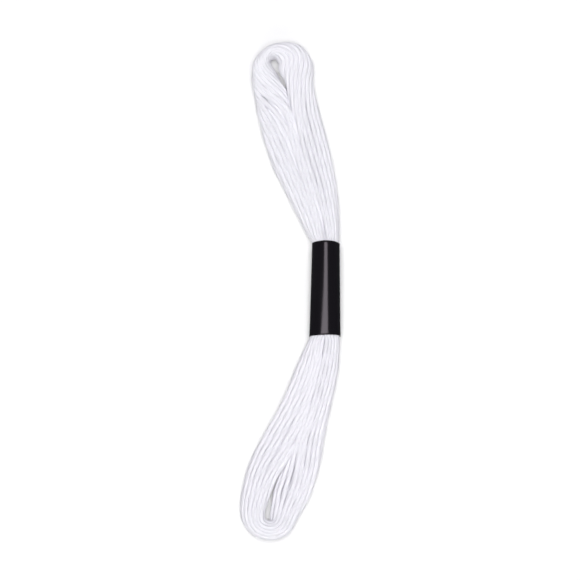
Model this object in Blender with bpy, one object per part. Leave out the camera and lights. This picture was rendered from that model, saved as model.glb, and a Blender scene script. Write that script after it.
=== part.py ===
"""Skein of embroidery floss: a wound hank of thread with a paper band round its waist.

Metres, +Z up. The skein lies flat along Y, and its origin is on the floor under the middle of its box.
"""
import math
from collections import namedtuple

import bmesh
import bpy
from mathutils import Matrix, Vector

for item in list(bpy.data.objects):
    bpy.data.objects.remove(item, do_unlink=True)

MM = 0.001
GAP = 0.3 * MM  # air between two pieces that touch on the real skein
WELD = 0.0001 * MM  # points this close are one
SMOOTH_BELOW = 50  # degrees between two faces, under which their edge is shaded smooth

# Paper band: a sleeve that the thread fills. Its way round is the same at both rims, so it is taller
# where it is narrower.
BAND_LENGTH = 28.0 * MM
BAND_GIRTH = 25.6 * MM
BAND_WIDTH_UPPER = 8.2 * MM
BAND_WIDTH_LOWER = 9.3 * MM
BAND_WALL = 1.0 * MM
BAND_SINK = 0.2 * MM  # how far the floor flattens its underside
BAND_SIDES = 40
BAND_STEPS = 8
BAND_CENTRE_UPPER = 0.2 * MM
BAND_CENTRE_LOWER = -0.1 * MM
LAP_START = math.radians(205)  # the glued lap, on the lower left side
LAP_END = math.radians(285)
LAP_STEP = 0.25 * MM

# Hank: a ring of wound thread, drawn in to a waist by the band, with a loop at each end.
LOCKS = 10  # groups of turns that show as ridges round a section
POINTS_PER_LOCK = 4
HALF_TURN = 180  # degrees that the locks twist on their way round the ring, a whole number of locks
GROOVE = 0.6 * MM  # how deep the skin dips between two locks
ARM_STEP = 3.3 * MM  # distance between two sections of an arm
LOOP_STEP = 1.7 * MM  # and where the hank turns back at its ends
LOOP_START = 60.0 * MM  # this far from the middle
HANK_SINK = 0.25 * MM  # how far the floor flattens its underside
BAND_POWER = 2.0  # the power of the curve round a section in the band, an ellipse's
ROUND_POWER = 2.3  # and where it is free, a little fuller
FLAT_SHARE = 0.2  # with this share of its width on the inner side, that side is flat against the other arm
ROUND_SHARE = 0.5  # with this share both sides are alike
SLOPE_SHARE = 0.7  # with this share the inner side slopes down towards the eye
FLAT_POWER = 8.0  # the power of a flat inner side
SLOPE_POWER = 1.4  # and of a sloping one
WAIST_SHARE = 0.06  # the share on the inner side inside the band, where each arm is half of an oval
ARM_SLIT = 0.2 * MM  # how far each arm's inner side keeps back from the other arm
WAIST_END = BAND_LENGTH / 2 + 0.25 * MM
WAIST_STRAIGHT = WAIST_END - 2.0 * MM
NECK_START = 15.3 * MM  # the bundle is at its full thickness this close to the band's rim

# One row for each section of the ring, in millimetres and degrees: up the right arm, over the top loop,
# down the left arm and round the bottom loop. x and y are the middle of the bundle, across its width in
# plan, deep its height, inner the share of its width on the side of the ring's hole, and turn how far the
# locks have twisted. A station is a section between two rows, in metres and radians.
Section = namedtuple("Section", "x y across deep inner turn")
Station = namedtuple("Station", "spot across deep inner turn")
UPPER_LOOP = [
    Section(2.35, 15.30, 4.20, 7.2, 0.20, 0),
    Section(1.85, 21.50, 4.90, 7.0, 0.20, 3),
    Section(0.25, 31.70, 6.50, 6.6, 0.20, 8),
    Section(-2.60, 44.00, 7.90, 6.2, 0.21, 14),
    Section(-5.65, 55.00, 7.70, 6.2, 0.27, 20),
    Section(-7.50, 63.20, 8.30, 6.4, 0.42, 28),
    Section(-8.20, 68.60, 9.90, 7.0, 0.50, 38),
    Section(-10.0, 71.70, 9.20, 7.8, 0.50, 48),
    Section(-13.4, 72.90, 5.90, 8.6, 0.50, 56),
    Section(-16.3, 72.70, 3.80, 9.2, 0.50, 63),
    Section(-18.2, 71.60, 3.70, 9.2, 0.52, 70),
    Section(-19.0, 69.60, 5.00, 8.6, 0.58, 78),
    Section(-18.8, 67.00, 7.40, 7.6, 0.61, 86),
    Section(-17.5, 62.60, 10.4, 6.4, 0.54, 102),
    Section(-15.4, 55.00, 11.1, 5.8, 0.28, 132),
    Section(-12.8, 44.00, 11.7, 5.8, 0.21, 164),
    Section(-8.20, 31.70, 9.20, 6.4, 0.20, 176),
    Section(-4.25, 21.50, 6.60, 6.9, 0.20, 179),
    Section(-2.30, 15.30, 4.40, 7.2, 0.20, 180),
]
LOWER_LOOP = [
    Section(-2.60, -15.3, 4.80, 6.6, 0.20, 180),
    Section(-4.70, -22.9, 7.30, 6.5, 0.20, 180),
    Section(-9.10, -35.35, 9.55, 6.2, 0.21, 180),
    Section(-14.8, -46.6, 9.50, 5.8, 0.27, 180),
    Section(-19.0, -54.8, 9.00, 5.8, 0.42, 178),
    Section(-21.3, -63.2, 8.30, 6.0, 0.50, 176),
    Section(-21.8, -67.4, 7.70, 6.4, 0.50, 175),
    Section(-20.4, -71.1, 6.60, 7.0, 0.50, 175),
    Section(-16.6, -72.9, 5.70, 7.6, 0.50, 176),
    Section(-13.3, -71.6, 6.60, 7.2, 0.54, 177),
    Section(-11.7, -67.6, 8.00, 6.4, 0.58, 178),
    Section(-9.30, -60.6, 10.7, 5.8, 0.62, 180),
    Section(-6.95, -53.5, 10.5, 5.8, 0.54, 180),
    Section(-4.32, -45.6, 7.70, 6.2, 0.34, 180),
    Section(-0.84, -34.6, 5.15, 6.8, 0.22, 180),
    Section(1.47, -23.4, 5.05, 6.7, 0.20, 180),
    Section(2.20, -15.3, 4.20, 6.6, 0.20, 180),
]


def ellipse_height(width, girth):
    """The height of an ellipse of this width whose way round is the girth."""
    return math.sqrt(max(2.0 * (girth / math.pi) ** 2 - width ** 2, 0.0))


def band_size(y):
    """The band's width, height and sideways place at this distance along it."""
    share = 0.5 + y / BAND_LENGTH
    width = BAND_WIDTH_LOWER + (BAND_WIDTH_UPPER - BAND_WIDTH_LOWER) * share
    centre = BAND_CENTRE_LOWER + (BAND_CENTRE_UPPER - BAND_CENTRE_LOWER) * share
    return width, ellipse_height(width, BAND_GIRTH), centre


def waist_section(y, side, turn):
    """One arm's section inside the band: half of what the paper encloses, less half of a slit of air."""
    width, height, centre = band_size(y)
    inside = BAND_WALL + GAP
    across = (width - 2 * inside - GAP) / 2
    x = centre + side * (across + GAP) / 2
    deep = height - BAND_SINK - 2 * inside
    return Section(x / MM, y / MM, across / MM, deep / MM, WAIST_SHARE, turn)


def ring_rows():
    """Every section of the ring in order, the two waists between the two loops."""
    along = (WAIST_END, WAIST_STRAIGHT, 0.0, -WAIST_STRAIGHT, -WAIST_END)
    left = [waist_section(y, -1, HALF_TURN) for y in along]
    right = [waist_section(-y, 1, HALF_TURN) for y in along]
    return UPPER_LOOP + left + LOWER_LOOP + right


def place_between(p0, p1, p2, p3, share):
    """A centripetal curve from p1 to p2 that also heads for p0 and p3."""
    k0 = 0.0
    k1 = k0 + math.sqrt((p1 - p0).length)
    k2 = k1 + math.sqrt((p2 - p1).length)
    k3 = k2 + math.sqrt((p3 - p2).length)
    k = k1 + (k2 - k1) * share
    a1 = p0 * ((k1 - k) / (k1 - k0)) + p1 * ((k - k0) / (k1 - k0))
    a2 = p1 * ((k2 - k) / (k2 - k1)) + p2 * ((k - k1) / (k2 - k1))
    a3 = p2 * ((k3 - k) / (k3 - k2)) + p3 * ((k - k2) / (k3 - k2))
    b1 = a1 * ((k2 - k) / (k2 - k0)) + a2 * ((k - k0) / (k2 - k0))
    b2 = a2 * ((k3 - k) / (k3 - k1)) + a3 * ((k - k1) / (k3 - k1))
    return b1 * ((k2 - k) / (k2 - k1)) + b2 * ((k - k1) / (k2 - k1))


def even_slope(rise_in, rise_out):
    """The slope at a row, such that a size never overshoots its rows."""
    if rise_in * rise_out <= 0.0:
        return 0.0
    return 2.0 * rise_in * rise_out / (rise_in + rise_out)


def size_between(v0, v1, v2, v3, share):
    """A size that eases from v1 to v2."""
    start = even_slope(v1 - v0, v2 - v1)
    end = even_slope(v2 - v1, v3 - v2)
    s2 = share * share
    s3 = s2 * share
    return (
        v1 * (2 * s3 - 3 * s2 + 1)
        + start * (s3 - 2 * s2 + share)
        + v2 * (3 * s2 - 2 * s3)
        + end * (s3 - s2)
    )


def ring_stations():
    """The stations that the mesh is drawn through."""
    rows = ring_rows()
    count = len(rows)
    stations = []
    for i in range(count):
        near = [rows[(i + k) % count] for k in (-1, 0, 1, 2)]
        spots = [Vector((row.x, row.y)) * MM for row in near]
        step = LOOP_STEP if abs(spots[1].y + spots[2].y) / 2 > LOOP_START else ARM_STEP
        steps = max(1, round((spots[2] - spots[1]).length / step))
        turns = [row.turn for row in near]
        if i == 0:
            turns[0] -= HALF_TURN
        if i >= count - 2:
            turns[3] += HALF_TURN
        if i == count - 1:
            turns[2] += HALF_TURN
        for j in range(steps):
            share = j / steps
            across, deep, inner = (
                size_between(*(getattr(row, name) for row in near), share)
                for name in ("across", "deep", "inner")
            )
            turn = math.radians(size_between(*turns, share))
            stations.append(Station(place_between(*spots, share), across * MM, deep * MM, inner, turn))
    return stations


def part_way(value, start, end):
    """How far a value has come from a start to an end, as a share from 0 to 1."""
    return min(max((value - start) / (end - start), 0.0), 1.0)


def curve_powers(station):
    """The powers of a section's outer and inner curves: above 2 squarer than an ellipse, below it a low slope."""
    outer = BAND_POWER if abs(station.spot.y) < NECK_START else ROUND_POWER
    flat = (FLAT_POWER - ROUND_POWER) * (1.0 - part_way(station.inner, FLAT_SHARE, ROUND_SHARE))
    slope = (ROUND_POWER - SLOPE_POWER) * part_way(station.inner, ROUND_SHARE, SLOPE_SHARE)
    return outer, ROUND_POWER + flat - slope


def bundle_point(station, angle):
    """A point of a bundle's outline, outwards and up from its middle, drawn in between two locks."""
    c = math.cos(angle)
    s = math.sin(angle)
    outer_power, inner_power = curve_powers(station)
    if c >= 0.0:
        reach = station.across * (1.0 - station.inner)
        share = 2.0 / outer_power
    else:
        slit = ARM_SLIT * part_way(abs(station.spot.y), WAIST_END, NECK_START)
        reach = station.across * station.inner - slit
        share = 2.0 / inner_power
    out = math.copysign(reach * abs(c) ** share, c)
    up = math.copysign(station.deep / 2 * abs(s) ** share, s)
    dip = GROOVE / 2 * (1.0 - math.cos(LOCKS * (angle - station.turn)))
    stretch = 1.0 - dip / math.hypot(out, up)
    middle = station.across * (ROUND_SHARE - station.inner)
    return out * stretch - middle, up * stretch


def underside(y):
    """The height of the surface that the bundle lies on: the floor, or the inside of the band."""
    return BAND_WALL + GAP if abs(y) < (WAIST_END + NECK_START) / 2 else 0.0


def drawn_through(loops):
    """A skin whose rim is extruded from each loop of points to the next."""
    bm = bmesh.new()
    rim = bmesh.ops.create_circle(bm, segments=len(loops[0]), radius=1.0)["verts"]
    edges = list(bm.edges)
    for vert, point in zip(rim, loops[0]):
        vert.co = point
    for loop in loops[1:]:
        made = bmesh.ops.extrude_edge_only(bm, edges=edges)["geom"]
        fresh = {item for item in made if isinstance(item, bmesh.types.BMVert)}
        made_edges = [item for item in made if isinstance(item, bmesh.types.BMEdge)]
        edges = [edge for edge in made_edges if fresh.issuperset(edge.verts)]
        rim = [next(e.other_vert(v) for e in v.link_edges if e.other_vert(v) in fresh) for v in rim]
        for vert, point in zip(rim, loop):
            vert.co = point
    return bm


def add_object(name, bm, material):
    """A named object from the mesh, its faces outwards, smooth but for its sharp edges."""
    bmesh.ops.recalc_face_normals(bm, faces=bm.faces)
    mesh = bpy.data.meshes.new(name)
    bm.to_mesh(mesh)
    bm.free()
    mesh.shade_smooth()
    mesh.set_sharp_from_angle(angle=math.radians(SMOOTH_BELOW))
    mesh.materials.append(material)
    obj = bpy.data.objects.new(name, mesh)
    bpy.context.scene.collection.objects.link(obj)
    return obj


def principled(name, colour, roughness):
    """A plain finish: base colour and roughness, not metal."""
    material = bpy.data.materials.new(name)
    material.use_nodes = True
    shader = material.node_tree.nodes["Principled BSDF"]
    shader.inputs["Base Color"].default_value = (*colour, 1.0)
    shader.inputs["Roughness"].default_value = roughness
    shader.inputs["Metallic"].default_value = 0.0
    return material


def build_hank():
    """The wound thread: one closed ring through all its sections."""
    stations = ring_stations()
    count = len(stations)
    points = LOCKS * POINTS_PER_LOCK
    loops = []
    for i, station in enumerate(stations):
        spot = station.spot
        heading = (stations[(i + 1) % count].spot - stations[i - 1].spot).normalized()
        if abs(spot.y) < NECK_START + GAP:
            heading = Vector((0.0, math.copysign(1.0, heading.y)))  # square to the band
        outwards = Vector((heading.y, -heading.x))
        floor = underside(spot.y)
        sink = HANK_SINK if floor == 0.0 else 0.0
        middle = floor + station.deep / 2 - sink
        loop = []
        for j in range(points):
            angle = station.turn + 2 * math.pi * j / points
            out, up = bundle_point(station, angle)
            place = spot + outwards * out
            loop.append((place.x, place.y, max(middle + up, floor)))
        loops.append(loop)
    half = points * HALF_TURN // 360
    loops.append(loops[0][half:] + loops[0][:half])  # the ring closes on its first section, half a turn on
    bm = drawn_through(loops)
    bmesh.ops.remove_doubles(bm, verts=bm.verts, dist=WELD)
    floss = principled("floss", (0.86, 0.85, 0.89), 0.8)
    return add_object("hank", bm, floss)


def band_loop(y):
    """One round of the sleeve's outside."""
    width, height, centre = band_size(y)
    loop = []
    for j in range(BAND_SIDES):
        angle = 2 * math.pi * j / BAND_SIDES
        lap = LAP_STEP if LAP_START < angle < LAP_END else 0.0
        x = centre + (width / 2 + lap) * math.cos(angle)
        z = height / 2 - BAND_SINK + (height / 2 + lap) * math.sin(angle)
        loop.append((x, y, max(z, 0.0)))
    return loop


def build_band():
    """The paper sleeve: its outside from rim to rim, given its thickness inwards."""
    outside = [band_loop(BAND_LENGTH * (j / BAND_STEPS - 0.5)) for j in range(BAND_STEPS + 1)]
    paper = principled("band_paper", (0.012, 0.012, 0.014), 0.42)
    band = add_object("band", drawn_through(outside), paper)
    wall = band.modifiers.new("wall", "SOLIDIFY")
    wall.thickness = BAND_WALL
    wall.offset = -1.0
    wall.use_even_offset = True
    return band


def centre_under_box(objects):
    """Moves the meshes so that the origin is on the floor under the middle of their box."""
    corners = [obj.matrix_world @ vertex.co for obj in objects for vertex in obj.data.vertices]
    middle_x = (min(c.x for c in corners) + max(c.x for c in corners)) / 2
    middle_y = (min(c.y for c in corners) + max(c.y for c in corners)) / 2
    for obj in objects:
        obj.data.transform(Matrix.Translation((-middle_x, -middle_y, 0.0)))


centre_under_box([build_hank(), build_band()])
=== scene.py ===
"""Looks of a skein of embroidery floss.

A soft hank of white six-strand cotton is held at its waist by a black paper band. It lies flat on a white
floor and is seen almost from above.
"""
import math
from collections import namedtuple

import bmesh
import bpy
import numpy as np
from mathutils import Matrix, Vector


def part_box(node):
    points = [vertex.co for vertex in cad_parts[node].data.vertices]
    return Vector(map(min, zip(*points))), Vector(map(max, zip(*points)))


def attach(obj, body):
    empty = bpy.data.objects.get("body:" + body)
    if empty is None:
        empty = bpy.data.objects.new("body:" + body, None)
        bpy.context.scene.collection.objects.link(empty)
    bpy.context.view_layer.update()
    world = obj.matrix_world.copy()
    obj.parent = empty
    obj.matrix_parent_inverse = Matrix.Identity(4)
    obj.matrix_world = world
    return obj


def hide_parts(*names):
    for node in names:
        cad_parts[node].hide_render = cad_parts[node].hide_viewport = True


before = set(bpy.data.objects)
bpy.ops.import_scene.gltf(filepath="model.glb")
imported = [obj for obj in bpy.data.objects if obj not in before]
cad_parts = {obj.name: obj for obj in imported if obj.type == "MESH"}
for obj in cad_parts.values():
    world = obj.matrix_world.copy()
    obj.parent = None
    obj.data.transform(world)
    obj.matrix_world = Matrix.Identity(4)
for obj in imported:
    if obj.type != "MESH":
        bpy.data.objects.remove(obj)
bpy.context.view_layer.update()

# ---- The hank of floss -----------------------------------------------------------------------------------
# About eight metres of white cotton floss, six soft strands laid together with a slow twist. It is wound into
# a ring of 25 turns and slipped off, and the paper band draws the ring in to a waist with a loop at each end.
# The whole thread is swept along its way through the hank, as three pieces.
MM = 0.001

# The oval that the paper holds the waist to has the same way round all along, so it is taller where it is
# narrower.
BAND_LENGTH = 28.0 * MM
BAND_GIRTH = 25.6 * MM
BAND_WIDTHS = (9.3 * MM, 8.2 * MM)  # at its lower and upper rims
BAND_CENTRES = (-0.1 * MM, 0.2 * MM)  # the x of its middle there, as in the tables below
BAND_SINK = 0.2 * MM  # how far the floor flattens its underside
PAPER = 0.14 * MM
SLACK = 0.12 * MM  # between the paper and the outline that the thread keeps to

band_low, band_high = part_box("band")
# the tables' zero: the band's box is as wide as its lower rim, so the two have one middle
skein_x = (band_low[0] + band_high[0]) / 2 - BAND_CENTRES[0]
skein_y = (band_low[1] + band_high[1]) / 2


def band_form(y):
    """The band's width, height and middle at a distance from its middle of length, which may be an array."""
    share = np.clip(0.5 + y / BAND_LENGTH, 0.0, 1.0)
    width = BAND_WIDTHS[0] + (BAND_WIDTHS[1] - BAND_WIDTHS[0]) * share
    centre = BAND_CENTRES[0] + (BAND_CENTRES[1] - BAND_CENTRES[0]) * share
    height = np.sqrt(2.0 * (BAND_GIRTH / math.pi) ** 2 - width**2)
    return width, height, centre


# The ring's form, a row for each of its sections, in millimetres and degrees: up the right arm, over the top
# loop, down the left arm and round the bottom loop. x and y are the middle of the bundle, across its width in
# plan, deep its height, inner the share of its width on the side of the ring's hole, turn how far the turns
# of thread have twisted, and lean how far the section leans, with its foot towards the hole.
Section = namedtuple("Section", "x y across deep inner turn lean")
UPPER_LOOP = (
    Section(2.25, 15.30, 4.20, 7.2, 0.20, 0, 0.0),
    Section(1.85, 21.50, 4.90, 7.0, 0.20, 3, 0.0),
    Section(0.25, 31.70, 6.50, 6.6, 0.20, 8, 0.0),
    Section(-2.75, 44.00, 7.60, 6.2, 0.21, 14, -0.6),
    Section(-5.80, 55.00, 7.50, 6.2, 0.26, 10, -1.8),
    Section(-7.65, 63.20, 7.90, 6.6, 0.46, -5, -1.6),
    Section(-8.80, 68.50, 10.6, 7.0, 0.49, -28, -0.8),
    Section(-10.6, 71.90, 9.60, 7.8, 0.50, -44, 0.0),
    Section(-13.9, 73.30, 5.00, 8.6, 0.50, -48, 0.5),
    Section(-16.5, 73.00, 3.70, 9.0, 0.50, -32, 0.5),
    Section(-18.4, 71.80, 3.70, 8.8, 0.48, -8, 1.2),
    Section(-19.1, 69.70, 5.00, 8.2, 0.44, 20, 2.4),
    Section(-19.1, 67.00, 6.70, 7.2, 0.49, 52, 3.8),
    Section(-18.0, 62.60, 9.00, 6.2, 0.46, 95, 4.2),
    Section(-15.4, 55.00, 11.1, 5.7, 0.28, 140, 2.8),
    Section(-12.45, 44.00, 11.1, 5.6, 0.20, 168, 0.8),
    Section(-8.02, 31.70, 8.55, 6.4, 0.20, 176, 0.0),
    Section(-4.15, 21.50, 6.60, 6.9, 0.20, 179, 0.0),
    Section(-2.20, 15.30, 4.40, 7.2, 0.20, 180, 0.0),
)
LOWER_LOOP = (
    Section(-2.60, -15.3, 4.80, 6.6, 0.20, 180, 0.0),
    Section(-4.65, -22.9, 7.40, 6.5, 0.20, 180, 0.0),
    Section(-8.80, -35.5, 10.2, 6.2, 0.21, 180, 0.0),
    Section(-14.6, -46.7, 10.0, 5.8, 0.24, 180, -0.7),
    Section(-18.8, -54.8, 8.70, 6.0, 0.30, 178, -1.6),
    Section(-21.1, -63.2, 7.80, 6.2, 0.33, 176, -1.6),
    Section(-21.6, -67.4, 7.10, 6.6, 0.38, 175, -1.2),
    Section(-20.4, -70.9, 6.50, 7.0, 0.46, 175, 0.4),
    Section(-16.6, -72.6, 5.90, 7.4, 0.50, 176, 1.6),
    Section(-13.4, -71.5, 6.60, 6.8, 0.50, 177, 2.4),
    Section(-11.8, -67.6, 7.90, 6.1, 0.54, 178, 3.9),
    Section(-9.30, -60.6, 10.3, 5.7, 0.58, 180, 4.4),
    Section(-6.80, -53.5, 10.5, 5.7, 0.49, 180, 2.8),
    Section(-4.60, -45.5, 8.40, 6.0, 0.34, 180, 0.8),
    Section(-1.15, -34.5, 5.80, 6.8, 0.22, 180, 0.0),
    Section(1.40, -23.4, 5.20, 6.7, 0.20, 180, 0.0),
    Section(2.20, -15.3, 4.20, 6.6, 0.20, 180, 0.0),
)
HALF_TURN = 180  # degrees that the turns twist on their way round the ring
WAIST_END = 14.25 * MM  # from the middle, just outside the band's rims
WAIST_SHARE = 0.06  # inside the band each arm is half of an oval
ARM_STEP = 2.5 * MM  # from one close section to the next in the arms
LOOP_STEP = 1.5 * MM  # and in the loops,
LOOP_START = 60.0 * MM  # which begin this far from the middle
HANK_SINK = 0.15 * MM  # how far the floor flattens the hank's underside


def waist_section(y, side):
    """One arm's section inside the band: half of what the paper encloses."""
    width, height, centre = band_form(y)
    across = width / 2 - PAPER - SLACK
    deep = height - BAND_SINK - 2 * (PAPER + SLACK)
    x = centre + side * across / 2
    return Section(x / MM, y / MM, across / MM, deep / MM, WAIST_SHARE, HALF_TURN, 0.0)


def place_between(p0, p1, p2, p3, share):
    """A centripetal curve from p1 to p2 that also heads for p0 and p3."""
    k0 = 0.0
    k1 = k0 + math.sqrt((p1 - p0).length)
    k2 = k1 + math.sqrt((p2 - p1).length)
    k3 = k2 + math.sqrt((p3 - p2).length)
    k = k1 + (k2 - k1) * share
    a1 = p0 * ((k1 - k) / (k1 - k0)) + p1 * ((k - k0) / (k1 - k0))
    a2 = p1 * ((k2 - k) / (k2 - k1)) + p2 * ((k - k1) / (k2 - k1))
    a3 = p2 * ((k3 - k) / (k3 - k2)) + p3 * ((k - k2) / (k3 - k2))
    b1 = a1 * ((k2 - k) / (k2 - k0)) + a2 * ((k - k0) / (k2 - k0))
    b2 = a2 * ((k3 - k) / (k3 - k1)) + a3 * ((k - k1) / (k3 - k1))
    return b1 * ((k2 - k) / (k2 - k1)) + b2 * ((k - k1) / (k2 - k1))


def size_between(v0, v1, v2, v3, share):
    """A size that eases from v1 to v2 and never overshoots its rows."""
    slopes = []
    for rise_in, rise_out in ((v1 - v0, v2 - v1), (v2 - v1, v3 - v2)):
        turning = rise_in * rise_out <= 0.0
        slopes.append(0.0 if turning else 2.0 * rise_in * rise_out / (rise_in + rise_out))
    s2 = share * share
    s3 = s2 * share
    return (
        v1 * (2 * s3 - 3 * s2 + 1)
        + slopes[0] * (s3 - 2 * s2 + share)
        + v2 * (3 * s2 - 2 * s3)
        + slopes[1] * (s3 - s2)
    )


def close_sections():
    """The ring's sections close together, as one Section whose columns are arrays in metres and radians."""
    along = (WAIST_END, WAIST_END / 2, 0.0, -WAIST_END / 2, -WAIST_END)
    left_waist = [waist_section(y, -1) for y in along]
    right_waist = [waist_section(-y, 1) for y in along]
    rows = [*UPPER_LOOP, *left_waist, *LOWER_LOOP, *right_waist]
    count = len(rows)
    sections = []
    for i in range(count):
        near = []
        for k in range(i - 1, i + 3):
            row = rows[k % count]
            turn = row.turn + HALF_TURN * (k // count)  # the ring closes after half a turn
            near.append(row._replace(turn=turn))
        spots = [Vector((row.x, row.y)) * MM for row in near]
        step = LOOP_STEP if abs(spots[1].y + spots[2].y) / 2 > LOOP_START else ARM_STEP
        steps = max(1, round((spots[2] - spots[1]).length / step))
        for j in range(steps):
            share = j / steps
            place = place_between(*spots, share)
            columns = zip(*(row[2:] for row in near))
            across, deep, inner, turn, lean = (size_between(*column, share) for column in columns)
            sections.append((place.x, place.y, across * MM, deep * MM, inner, math.radians(turn), lean * MM))
    return Section(*np.array(sections).T)


# The curve round a section is a true oval where the paper holds it, and a little fuller where it is free. On
# the side of the ring's hole it is flat where the two arms press each other, and a low slope towards an eye.
BAND_POWER = 2.0  # the powers of these four curves
ROUND_POWER = 2.3
FLAT_POWER = 8.0
SLOPE_POWER = 1.4
EVEN_SHARE = 0.5  # with this inner share both sides of a section are alike,
FLAT_BELOW = 0.3  # with this much less the inner side is flat,
SLOPE_ABOVE = 0.2  # and with this much more it is a low slope
FREED_BY = 4.0 * MM  # a section is free of the band's oval this far beyond the band
SQUARE_WITHIN = 18.0 * MM  # sections nearer to the middle than this turn square to the band,
SQUARE_EASE = 3.0 * MM  # wholly so this much nearer


def part_way(distance, whole):
    """How much of the whole a distance covers, from 0 to 1."""
    return np.clip(distance / whole, 0.0, 1.0)


def side_power(inner):
    """The power of the curve of a section's inner side."""
    flat = (FLAT_POWER - ROUND_POWER) * part_way(EVEN_SHARE - inner, FLAT_BELOW)
    slope = (ROUND_POWER - SLOPE_POWER) * part_way(inner - EVEN_SHARE, SLOPE_ABOVE)
    return ROUND_POWER + flat - slope


def headings(ring):
    """The ring's direction at each section, turned square to the band inside it and close to it."""
    x, y = ring.x, ring.y
    heading = np.stack([np.roll(x, -1) - np.roll(x, 1), np.roll(y, -1) - np.roll(y, 1)], axis=1)
    heading /= np.linalg.norm(heading, axis=1)[:, None]
    square = part_way(SQUARE_WITHIN - np.abs(y), SQUARE_EASE)[:, None]
    straight = np.stack([np.zeros_like(y), np.sign(heading[:, 1])], axis=1)
    heading = heading * (1 - square) + straight * square
    return heading / np.linalg.norm(heading, axis=1)[:, None]


# The thread lies in the ring as 25 turns. They start in even places in each section and wander a little. Then
# they press each other apart, the turns of the other arm too, until they lie side by side and fill the form.
TURN_RINGS = ((1, 0.0), (8, 0.47), (16, 0.86))  # turns in each ring of a section, and how far out they start
WANDER = ((41.0 * MM, 0.015), (67.0 * MM, 0.03), (113.0 * MM, 0.06))  # wave lengths and heights of its stray
WANDER_SEED = 7
ANGLE_STRAY = 2.0  # how much further a turn strays round the section than outwards
NEAREST_OUT = 0.02  # a turn never strays nearer to the middle of a section than this share of the way out
THREAD_WIDTHS = (0.90 * MM, 1.65 * MM)  # the least it can be pressed to, and the most it fluffs up to
PRESSED = 1.05  # turns are this much wider than their spacing, because they press into each other
FILLS = (0.86, 1.0)  # how much of a section the thread fills inside the band and away from it
LOOSE_BEYOND = 22.0 * MM  # this far from the middle it lies loose,
LOOSE_EASE = 8.0 * MM  # and this much nearer it is pressed tight
FLAT_GAIN = 0.15  # how much more area a section has whose inner side is flat
ROW_HEIGHT = math.sqrt(3) / 2  # of close rows of round threads, as a share of their width
SETTLE_ROUNDS = 240
PUSH = 0.32  # the share of an overlap that each of two turns is pushed in a round
HOME_PULL = 0.012  # the share of its way that a turn is pulled back to where it started
STIFFNESS = 0.24  # how much of a bend is taken out of a turn at once,
SMOOTHINGS = 3  # and how often in a round
LAST_PULL = 0.5  # the share of what is left outside the outline that is drawn in towards its middle
LEAN_PIVOT = 0.15  # the share of a section's height above its middle at which its lean leaves it in place
ARMS_REACH = 2.0 * MM  # arms nearer than this share the space between them,
PRESS_BELOW = 0.15  # wholly so where the inner share is this much less than even
ARMS_RANGE = 20.0 * MM  # sections further apart than this don't press each other,
BESIDE_WITHIN = 2.0 * MM  # nor where one lies further than this ahead of the other,
OPPOSED = -0.5  # nor where the product of their headings along Y is more than this
TINY = 1e-9  # keeps a division by nothing from failing
LIFT_EASE = 2.0 * MM  # beyond the band the thread comes down from the paper to the floor within this much,
SINK_EASE = 3.0 * MM  # and is flattened by the floor after this much
LINE_STEPS = 3  # points of the smooth line for each section


def section_places(ring, angle, out):
    """Places in each section, counted from where its two sides meet: an angle and a share of the way out."""
    across, deep, inner = ring.across[:, None], ring.deep[:, None], ring.inner[:, None]
    c, s = np.cos(angle) * out, np.sin(angle) * out
    return np.stack([np.where(c > 0, across * (1 - inner) * c, across * inner * c), deep / 2 * s], axis=2)


def start_places(ring):
    """Every turn's first place in each section, out and up from where its two sides meet."""
    starts = []
    for number, out in TURN_RINGS:
        hop = 2 * math.pi * (number // 2 + 1) / number  # each next turn lies opposite
        starts += [(k * hop, out) for k in range(number)]
    angles, outs = (np.array(column) for column in zip(*starts))
    rng = np.random.default_rng(WANDER_SEED)
    steps = np.hypot(np.diff(ring.x, append=ring.x[0]), np.diff(ring.y, append=ring.y[0]))
    along = (np.cumsum(steps) - steps[0])[:, None] + steps.sum() * np.arange(len(angles))
    stray = []
    for axis in range(2):
        waves = [height * np.sin(2 * math.pi * (along / wave + rng.random())) for wave, height in WANDER]
        stray.append(np.sum(waves, axis=0))
    angle = angles + ring.turn[:, None] + ANGLE_STRAY * stray[0]
    out = np.clip(outs + stray[1], NEAREST_OUT, 1.0)
    places = section_places(ring, angle, out)
    # inside the band on the right each turn moves over to where the next one starts, half a turn of twist on
    count = len(ring.y)
    second_half = np.arange(count) > count // 2
    first_right = np.flatnonzero(second_half & (ring.y > -WAIST_END))[0]
    move = np.zeros(count)
    move[first_right:] = np.linspace(0.0, 1.0, count - first_right)
    move = (move**2 * (3 - 2 * move))[:, None, None]
    ahead = section_places(ring, np.roll(angle, -1, axis=1) - math.pi, np.roll(out, -1, axis=1))
    return places * (1 - move) + ahead * move


def thread_width(ring):
    """How wide the thread is in each section: it fluffs up where it has room."""
    fuller = 1 + FLAT_GAIN * (side_power(ring.inner) - BAND_POWER) / (FLAT_POWER - BAND_POWER)
    area = math.pi / 4 * ring.across * ring.deep * fuller
    fill = FILLS[1] - (FILLS[1] - FILLS[0]) * part_way(LOOSE_BEYOND - np.abs(ring.y), LOOSE_EASE)
    turns = sum(number for number, out in TURN_RINGS)
    return np.clip(np.sqrt(area * fill / turns / ROW_HEIGHT), *THREAD_WIDTHS)


def other_arm(spots, heading):
    """For each section, the section of the other arm that lies beside it, and whether there is one."""
    apart = spots[:, None] - spots[None]
    ahead = np.abs(np.einsum("jik,ik->ij", apart, heading))
    far = np.linalg.norm(apart, axis=2) > ARMS_RANGE
    facing = heading[:, 1, None] * heading[None, :, 1] < OPPOSED
    ahead[far | ~facing] = np.inf
    return ahead.argmin(axis=1), ahead.min(axis=1) < BESIDE_WITHIN


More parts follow.
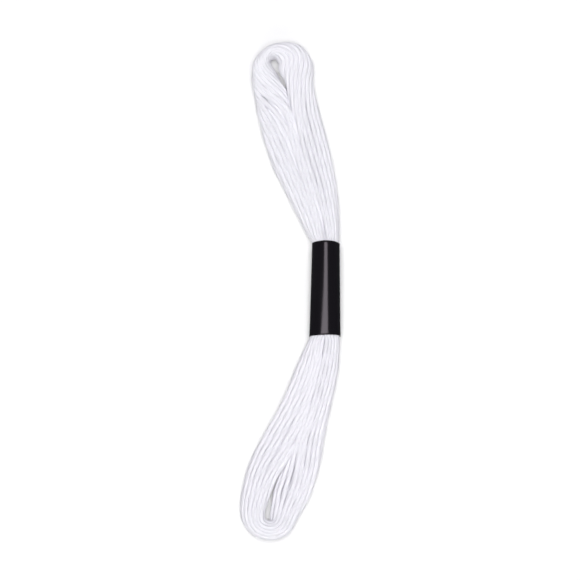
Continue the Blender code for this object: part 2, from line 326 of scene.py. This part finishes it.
def pushed_apart(places, neighbours, width, same):
    """How far each turn is pushed by neighbours that it lies too close to; same is 1 for a turn itself."""
    gaps = places[:, :, None, :] - neighbours[:, None, :, :]
    distance = np.sqrt((gaps**2).sum(axis=3)) + same + TINY
    push = np.clip(width[:, None, None] - distance, 0.0, None) / distance * PUSH
    return (gaps * push[..., None]).sum(axis=2)


def pulled_inside(out, up, reach, rise, bend):
    """Places outside a section's outline are moved straight back to it."""
    out_share, up_share = np.abs(out) / reach, np.abs(up) / rise
    over = np.clip(out_share**bend + up_share**bend - 1.0, 0.0, None)
    out_slope = bend * out_share ** (bend - 1) / reach * np.sign(out)
    up_slope = bend * up_share ** (bend - 1) / rise * np.sign(up)
    step = over / (out_slope**2 + up_slope**2 + TINY)
    out, up = out - step * out_slope, up - step * up_slope
    over = (np.abs(out) / reach) ** bend + (np.abs(up) / rise) ** bend
    shrink = np.clip(over, 1.0, None) ** (-LAST_PULL / bend)
    return out * shrink, up * shrink


def smoothed(line):
    """A line of places with some of its bends taken out, in place."""
    for _ in range(SMOOTHINGS):
        line[1:-1] += STIFFNESS * (line[:-2] + line[2:] - 2 * line[1:-1])
    return line


def settled_places(ring, heading, middle_z, width):
    """The turns' places once they have pressed each other apart inside the hank's outline."""
    across, deep, inner = ring.across[:, None], ring.deep[:, None], ring.inner[:, None]
    middle = across * (EVEN_SHARE - inner)

    def shift(up):
        """How far inwards of the bundle's middle the two sides of each section meet, at a height in it."""
        return middle + ring.lean[:, None] * (LEAN_PIVOT - up / deep)

    places = start_places(ring)
    places[..., 0] -= shift(places[..., 1])
    home = places.copy()
    freed = part_way(np.abs(ring.y) - WAIST_END, FREED_BY)[:, None]
    outer_power = BAND_POWER + (ROUND_POWER - BAND_POWER) * freed
    inner_power = side_power(inner)
    inset = width[:, None] / 2

    spots = np.stack([ring.x, ring.y], axis=1)
    outwards = np.stack([heading[:, 1], -heading[:, 0]], axis=1)
    beside, matched = other_arm(spots, heading)
    near = np.flatnonzero(matched)
    far = beside[near]
    between = np.linalg.norm(spots[far] - spots[near], axis=1)
    between -= (ring.across[near] + ring.across[far]) / 2
    pressing = part_way(EVEN_SHARE - ring.inner[near], PRESS_BELOW)
    shared = np.zeros_like(across)
    shared[near, 0] = np.clip(ARMS_REACH - between, 0.0, ARMS_REACH) * pressing
    run_product = np.einsum("ik,ik->i", heading[far], heading[near])
    sections, turns, _ = places.shape
    itself = np.eye(turns)[None]
    for _ in range(SETTLE_ROUNDS):
        push = pushed_apart(places, places, width, itself)
        # the other arm's turns are followed along to where they pass this section
        passing = spots[far, None] + outwards[far, None] * places[far, :, :1]
        ahead = np.einsum("itk,ik->it", passing - spots[near, None], heading[near])
        ahead /= run_product[:, None]
        passing = passing - heading[far, None] * ahead[..., None]
        beside_out = np.einsum("itk,ik->it", passing - spots[near, None], outwards[near])
        beside_up = places[far, :, 1] + (middle_z[far] - middle_z[near])[:, None]
        others = np.stack([beside_out, beside_up], axis=2)
        push[near] += pushed_apart(places[near], others, width[near], 0.0)
        places = places + push + (home - places) * HOME_PULL
        # the thread's moves are smoothed as one line, and each place is drawn back inside the outline
        line = smoothed((places - home).transpose(1, 0, 2).reshape(-1, 2))
        places = home + line.reshape(turns, sections, 2).transpose(1, 0, 2)
        up = places[..., 1]
        out = places[..., 0] + shift(up)
        reach = np.where(out > 0, across * (1 - inner) - inset, across * inner - inset + shared)
        bend = np.where(out > 0, outer_power, inner_power)
        out, up = pulled_inside(out, up, reach, deep / 2 - inset, bend)
        places = np.stack([out - shift(up), up], axis=2)
    return places


def smooth_line(points):
    """An even cubic curve that passes close by the points, with LINE_STEPS new ones for each."""
    padded = np.concatenate([points[:1] * 2 - points[1:2], points, points[-1:] * 2 - points[-2:-1]])
    p0, p1, p2, p3 = padded[:-3], padded[1:-2], padded[2:-1], padded[3:]
    parts = []
    for j in range(LINE_STEPS):
        s = j / LINE_STEPS
        weights = ((1 - s) ** 3, 3 * s**3 - 6 * s**2 + 4, -3 * s**3 + 3 * s**2 + 3 * s + 1, s**3)
        parts.append(sum(w * p for w, p in zip(weights, (p0, p1, p2, p3))) / 6)
    fine = np.stack(parts, axis=1).reshape(-1, points.shape[1])
    return np.concatenate([fine, points[-1:]])


def thread_line(ring):
    """The thread's whole way through the hank, as a smooth line: x, y, z and width."""
    heading = headings(ring)
    beyond = np.abs(ring.y) - WAIST_END
    lift = (PAPER + SLACK) * part_way(LIFT_EASE - beyond, LIFT_EASE)
    sink = HANK_SINK * part_way(beyond, SINK_EASE)
    middle_z = ring.deep / 2 + lift - sink
    width = thread_width(ring)
    places = settled_places(ring, heading, middle_z, width)
    x = ring.x[:, None] + heading[:, 1, None] * places[..., 0] + skein_x
    y = ring.y[:, None] - heading[:, 0, None] * places[..., 0] + skein_y
    z = np.maximum(middle_z[:, None] + places[..., 1], width[:, None] * PRESSED / 2 + lift[:, None])
    turns = np.stack([x, y, z, np.broadcast_to(width[:, None], x.shape)], axis=2)
    return smooth_line(turns.transpose(1, 0, 2).reshape(-1, 4))


# The floss itself: the thread's lobed outline, its finish, and the pieces swept along the line.
STRANDS = 6
POINTS_PER_STRAND = 4
STRAND_GROOVE = 0.20  # how deep the groove between two strands is, as a share of the thread's radius
LAY_LENGTH = 40.0 * MM  # along the thread for one turn of its strands
PIECE_ENDS = (0.34, 0.67)  # how far along the thread one piece of it ends and the next begins
PIECE_LENGTH = 2600.0 * MM  # about what each of them measures
PLY_PITCH = 0.75 * MM  # along the thread for one ridge of a strand's two plies
PLY_RELIEF = 0.5  # how high these ridges are beside the fibres
FIBRES_ALONG = 1500.0  # fibre lengths in a piece
FIBRES_ROUND = 14.0  # and fibres side by side round the thread
FLOSS_COLOUR = (0.855, 0.847, 0.893)  # white with a faint lavender cast
PAINTED_DIP_SHADE = 0.95  # painted shade: how much darker the floss colour is made in the dips between fibres
DOUBLES_WITHIN = 0.001 * MM  # points this close are one


def thread_profile():
    """A flat closed curve of the thread's lobed outline, one unit across."""
    curve = bpy.data.curves.new("thread_profile", "CURVE")
    curve.dimensions = "2D"
    spline = curve.splines.new("POLY")
    count = STRANDS * POINTS_PER_STRAND
    spline.points.add(count - 1)
    spline.use_cyclic_u = True
    for j, point in enumerate(spline.points):
        angle = 2 * math.pi * j / count
        radius = 0.5 * (1.0 - STRAND_GROOVE * (1.0 - abs(math.cos(angle * STRANDS / 2))))
        point.co = (radius * math.cos(angle), radius * math.sin(angle), 0.0, 1.0)
    profile = bpy.data.objects.new("thread_profile", curve)
    bpy.context.scene.collection.objects.link(profile)
    return profile


def floss_material():
    """White cotton: fine fibres along the thread with painted shade in the dips between them, the slanting
    ridges of its plies and a soft sheen.
    """
    material = bpy.data.materials.new("white_floss")
    material.use_nodes = True
    nodes = material.node_tree.nodes
    links = material.node_tree.links
    shader = nodes["Principled BSDF"]
    shader.inputs["Roughness"].default_value = 0.55
    shader.inputs["Specular IOR Level"].default_value = 0.35
    shader.inputs["Sheen Weight"].default_value = 0.15
    shader.inputs["Sheen Roughness"].default_value = 0.4
    coordinates = nodes.new("ShaderNodeTexCoord")
    stretch = nodes.new("ShaderNodeMapping")
    stretch.inputs["Scale"].default_value = (FIBRES_ALONG, FIBRES_ROUND, 1.0)
    links.new(coordinates.outputs["UV"], stretch.inputs["Vector"])
    fibres = nodes.new("ShaderNodeTexNoise")
    fibres.inputs["Scale"].default_value = 1.0
    fibres.inputs["Detail"].default_value = 3.0
    links.new(stretch.outputs["Vector"], fibres.inputs["Vector"])
    slant = nodes.new("ShaderNodeMapping")
    wave = 0.2 * math.pi  # what the wave texture takes for one of its waves on the slant
    slant.inputs["Scale"].default_value = (wave * PIECE_LENGTH / PLY_PITCH, wave * STRANDS, 1.0)
    links.new(coordinates.outputs["UV"], slant.inputs["Vector"])
    plies = nodes.new("ShaderNodeTexWave")
    plies.bands_direction = "DIAGONAL"
    plies.inputs["Scale"].default_value = 1.0
    plies.inputs["Distortion"].default_value = 1.2
    plies.inputs["Detail"].default_value = 1.0
    links.new(slant.outputs["Vector"], plies.inputs["Vector"])
    relief = nodes.new("ShaderNodeMath")
    relief.operation = "MULTIPLY_ADD"
    relief.inputs[1].default_value = PLY_RELIEF
    links.new(plies.outputs["Fac"], relief.inputs[0])
    links.new(fibres.outputs["Fac"], relief.inputs[2])
    bump = nodes.new("ShaderNodeBump")
    bump.inputs["Strength"].default_value = 0.45
    bump.inputs["Distance"].default_value = 0.05 * MM
    links.new(relief.outputs["Value"], bump.inputs["Height"])
    links.new(bump.outputs["Normal"], shader.inputs["Normal"])
    # painted shade: the colour is darker where the fibres' bump is low, as shade in the dips between them
    painted_dip_shade_ramp = nodes.new("ShaderNodeValToRGB")
    dips, tops = painted_dip_shade_ramp.color_ramp.elements
    dips.position = 0.3
    dips.color = (*(PAINTED_DIP_SHADE * c for c in FLOSS_COLOUR), 1.0)
    tops.position = 0.7
    tops.color = (*FLOSS_COLOUR, 1.0)
    links.new(fibres.outputs["Fac"], painted_dip_shade_ramp.inputs["Fac"])
    links.new(painted_dip_shade_ramp.outputs["Color"], shader.inputs["Base Color"])
    return material


def swept_thread(name, line, profile, material):
    """A mesh of the thread along one stretch of its line."""
    curve = bpy.data.curves.new(name, "CURVE")
    curve.dimensions = "3D"
    curve.twist_mode = "MINIMUM"
    curve.bevel_mode = "OBJECT"
    curve.bevel_object = profile
    curve.use_fill_caps = True
    spline = curve.splines.new("POLY")
    spline.points.add(len(line) - 1)
    steps = np.linalg.norm(np.diff(line[:, :3], axis=0), axis=1)
    lengths = np.concatenate([[0.0], np.cumsum(steps)])
    spline.points.foreach_set("co", np.column_stack([line[:, :3], np.ones(len(line))]).ravel())
    spline.points.foreach_set("radius", line[:, 3] * PRESSED)
    spline.points.foreach_set("tilt", lengths * 2 * math.pi / LAY_LENGTH)
    sweep = bpy.data.objects.new(name + "_sweep", curve)
    bpy.context.scene.collection.objects.link(sweep)
    mesh = bpy.data.meshes.new_from_object(sweep.evaluated_get(bpy.context.evaluated_depsgraph_get()))
    bpy.data.objects.remove(sweep)
    # the sweep counts its UVs in points of the line, and the fibres and plies need them in true lengths
    corners = mesh.uv_layers[0].data
    uv = np.empty(len(corners) * 2)
    corners.foreach_get("uv", uv)
    uv = uv.reshape(-1, 2)
    uv[:, 0] = np.interp(uv[:, 0] * (len(line) - 1), np.arange(len(line)), lengths / lengths[-1])
    corners.foreach_set("uv", uv.ravel())
    bm = bmesh.new()
    bm.from_mesh(mesh)
    bmesh.ops.remove_doubles(bm, verts=bm.verts, dist=DOUBLES_WITHIN)
    bmesh.ops.recalc_face_normals(bm, faces=bm.faces)
    bm.to_mesh(mesh)
    bm.free()
    mesh.name = name
    mesh.shade_smooth()
    mesh.materials.clear()
    mesh.materials.append(material)
    piece = bpy.data.objects.new(name, mesh)
    bpy.context.scene.collection.objects.link(piece)
    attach(piece, "root")
    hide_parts("hank")


line = thread_line(close_sections())
profile = thread_profile()
white_floss = floss_material()
# the thread is cut where the middle half of the band hides it
in_band = np.flatnonzero(np.abs(line[:, 1] - skein_y) < BAND_LENGTH / 4)
cuts = [in_band[np.abs(in_band - len(line) * share).argmin()] for share in PIECE_ENDS]
for number, (start, end) in enumerate(zip([0, *cuts], [*cuts, len(line)]), 1):
    swept_thread(f"floss_turns_{number}", line[start:end + 1], profile, white_floss)
bpy.data.objects.remove(profile)

# ---- The paper band --------------------------------------------------------------------------------------
# A strip of thin, smooth black paper, rolled once round the waist of the hank and glued where its ends lap,
# under the left side. Its rims are cut a little unevenly, and the threads behind it show as faint flats.
LAP_START = math.radians(205)  # round from the right-hand side, over the top
LAP_END = math.radians(285)
LAP_AIR = 0.05 * MM  # between the two layers of the lap
LAP_OVER = math.radians(265)  # up to here the strip's start lies over its end,
LAP_EASE = math.radians(45)  # and after this much more it lies on the thread
BAND_ROUND = 150  # faces round the strip
BAND_ALONG = 48  # and from rim to rim
# rows of waves: height in millimetres, how fast they go round the band and along it, and where they start
FLATS = ((0.03, 5, 40, 0), (0.02, 9, -90, 1))
FLARE_WAVES = ((0.03, 4, 60, 0),)
RIM_WAVES = ((0.07, 9, 2, 0), (0.04, 23, 3, 0))
FLARE = 0.04 * MM  # how far the rims stand out, but for their waves,
FLARE_POWER = 6  # and how suddenly towards their edge
RIM_BOWS = {-1: -0.04 * MM, 1: 0.34 * MM}  # how far the lower and upper rims bow along the skein on top
STRAY_POWER = 3  # how suddenly the paper strays lengthwise towards its rims
FLOOR_AIR = 0.02 * MM  # the paper stays this far above the floor
PAPER_COLOUR = (0.0056, 0.0050, 0.0068)


def wave_height(rows, around, along):
    """The height of a table's waves together, in metres, at a place round the band and along it."""
    return sum(height * MM * math.sin(u * around + v * along + start) for height, u, v, start in rows)


def strip_angle(share):
    """How far round the skein a point of the strip is, from its start to its end."""
    return LAP_START + share * (2 * math.pi + LAP_END - LAP_START)


def rolled(share, y):
    """Where a point of the flat strip lies once it is rolled: share along the strip, y along the skein."""
    angle = strip_angle(share)
    width, height, centre = band_form(y)
    proud = (PAPER + LAP_AIR) * (1.0 - part_way(angle - LAP_OVER, LAP_EASE))
    rim = (abs(y) / (BAND_LENGTH / 2)) ** FLARE_POWER
    flare = rim * (FLARE + wave_height(FLARE_WAVES, angle, y))
    radius = proud + wave_height(FLATS, angle, y) + flare
    x = centre + (width / 2 + radius) * math.cos(angle)
    z = height / 2 - BAND_SINK + (height / 2 + radius) * math.sin(angle)
    return Vector((x + skein_x, y + skein_y, max(z, FLOOR_AIR)))


def rim_waver(share, side):
    """How far along the skein a rim strays from straight, at a share along the strip: side is -1 or 1."""
    bow = RIM_BOWS[side] * max(math.sin(strip_angle(share)), 0.0)
    return bow + wave_height(RIM_WAVES, share, side)


def paper_material():
    """Satin black paper with a very fine grain."""
    material = bpy.data.materials.new("black_paper")
    material.use_nodes = True
    nodes = material.node_tree.nodes
    links = material.node_tree.links
    shader = nodes["Principled BSDF"]
    shader.inputs["Base Color"].default_value = (*PAPER_COLOUR, 1.0)
    shader.inputs["Specular IOR Level"].default_value = 0.30
    shader.inputs["Specular Tint"].default_value = (1.0, 0.90, 1.0, 1.0)
    coordinates = nodes.new("ShaderNodeTexCoord")
    grain = nodes.new("ShaderNodeTexNoise")
    grain.inputs["Scale"].default_value = 2600.0
    grain.inputs["Detail"].default_value = 4.0
    links.new(coordinates.outputs["Object"], grain.inputs["Vector"])
    bump = nodes.new("ShaderNodeBump")
    bump.inputs["Strength"].default_value = 0.12
    bump.inputs["Distance"].default_value = 0.03 * MM
    links.new(grain.outputs["Fac"], bump.inputs["Height"])
    links.new(bump.outputs["Normal"], shader.inputs["Normal"])
    gloss = nodes.new("ShaderNodeMapRange")
    gloss.inputs["To Min"].default_value = 0.17
    gloss.inputs["To Max"].default_value = 0.24
    links.new(grain.outputs["Fac"], gloss.inputs["Value"])
    links.new(gloss.outputs["Result"], shader.inputs["Roughness"])
    return material


bm = bmesh.new()
bm.loops.layers.uv.new("UVMap")
bmesh.ops.create_grid(bm, x_segments=BAND_ROUND, y_segments=BAND_ALONG, size=0.5, calc_uvs=True)
for vert in bm.verts:
    share = vert.co.x + 0.5
    stray = 2 * vert.co.y
    waver = rim_waver(share, math.copysign(1.0, stray)) * abs(stray) ** STRAY_POWER
    vert.co = rolled(share, vert.co.y * BAND_LENGTH + waver)
bmesh.ops.reverse_faces(bm, faces=bm.faces)
mesh = bpy.data.meshes.new("paper_band")
bm.to_mesh(mesh)
bm.free()
mesh.shade_smooth()
mesh.materials.append(paper_material())
paper_band = bpy.data.objects.new("paper_band", mesh)
bpy.context.scene.collection.objects.link(paper_band)
sheet = paper_band.modifiers.new("paper", "SOLIDIFY")
sheet.thickness = PAPER
sheet.offset = -1.0
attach(paper_band, "root")
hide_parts("band")

# ---- Floor, light and camera -----------------------------------------------------------------------------
# A matt white floor, a large soft light overhead and a weaker one beyond each end of the skein. The camera is
# almost overhead too, on the side of the skein's lower end.
FLOOR_SIZE = 1.6
AIM_HEIGHT = 3.0 * MM
SKY = (0.95, 0.945, 1.0, 1.0)
SKY_STRENGTH = 0.12
CAMERA_ELEVATION = math.radians(80)
CAMERA_DISTANCE = 1.1
CAMERA_CLIP = 0.01
SENSOR = 36.0  # millimetres across
FRAME_HEIGHT = 0.174  # what the picture shows from bottom to top


def floor_material():
    """Matt white."""
    material = bpy.data.materials.new("pale_floor")
    material.use_nodes = True
    shader = material.node_tree.nodes["Principled BSDF"]
    shader.inputs["Roughness"].default_value = 0.9
    shader.inputs["Specular IOR Level"].default_value = 0.1
    shader.inputs["Base Color"].default_value = (0.99, 0.99, 0.985, 1.0)
    return material


bm = bmesh.new()
bmesh.ops.create_grid(bm, x_segments=1, y_segments=1, size=FLOOR_SIZE / 2)
mesh = bpy.data.meshes.new("floor")
bm.to_mesh(mesh)
bm.free()
mesh.materials.append(floor_material())
floor = bpy.data.objects.new("floor", mesh)
bpy.context.scene.collection.objects.link(floor)
floor.visible_glossy = False  # the paper's sides would mirror it as grey edges


def soft_light(name, place, size, power, aim):
    """A rectangular soft light that faces its aim."""
    data = bpy.data.lights.new(name, "AREA")
    data.shape = "RECTANGLE"
    data.size, data.size_y = size
    data.energy = power
    light = bpy.data.objects.new(name, data)
    light.location = place
    light.rotation_euler = (Vector(place) - aim).to_track_quat("Z", "Y").to_euler()
    bpy.context.scene.collection.objects.link(light)
    return light


aim = Vector((0.0, 0.0, AIM_HEIGHT))
soft_light("overhead", place=(-0.01, -0.10, 1.3), size=(0.84, 0.84), power=14.6, aim=aim)
soft_light("near_fill", place=(0.1, -1.15, 0.85), size=(1.4, 0.9), power=6.2, aim=aim)
far_fill = soft_light("far_fill", place=(0.1, 1.15, 0.75), size=(1.4, 0.8), power=2.9, aim=aim)
far_fill.data.color = (0.90, 0.88, 1.0)

world = bpy.data.worlds.new("studio")
world.use_nodes = True
background = world.node_tree.nodes["Background"]
background.inputs["Color"].default_value = SKY
background.inputs["Strength"].default_value = SKY_STRENGTH
bpy.context.scene.world = world
bpy.context.scene.view_settings.view_transform = "Standard"

camera_data = bpy.data.cameras.new("camera")
camera_data.sensor_width = SENSOR
camera_data.lens = SENSOR * CAMERA_DISTANCE / FRAME_HEIGHT
camera_data.clip_start = CAMERA_CLIP
camera = bpy.data.objects.new("camera", camera_data)
towards = Vector((0.0, -math.cos(CAMERA_ELEVATION), math.sin(CAMERA_ELEVATION)))
camera.location = aim + towards * CAMERA_DISTANCE
camera.rotation_euler = towards.to_track_quat("Z", "Y").to_euler()
bpy.context.scene.collection.objects.link(camera)
bpy.context.scene.camera = camera
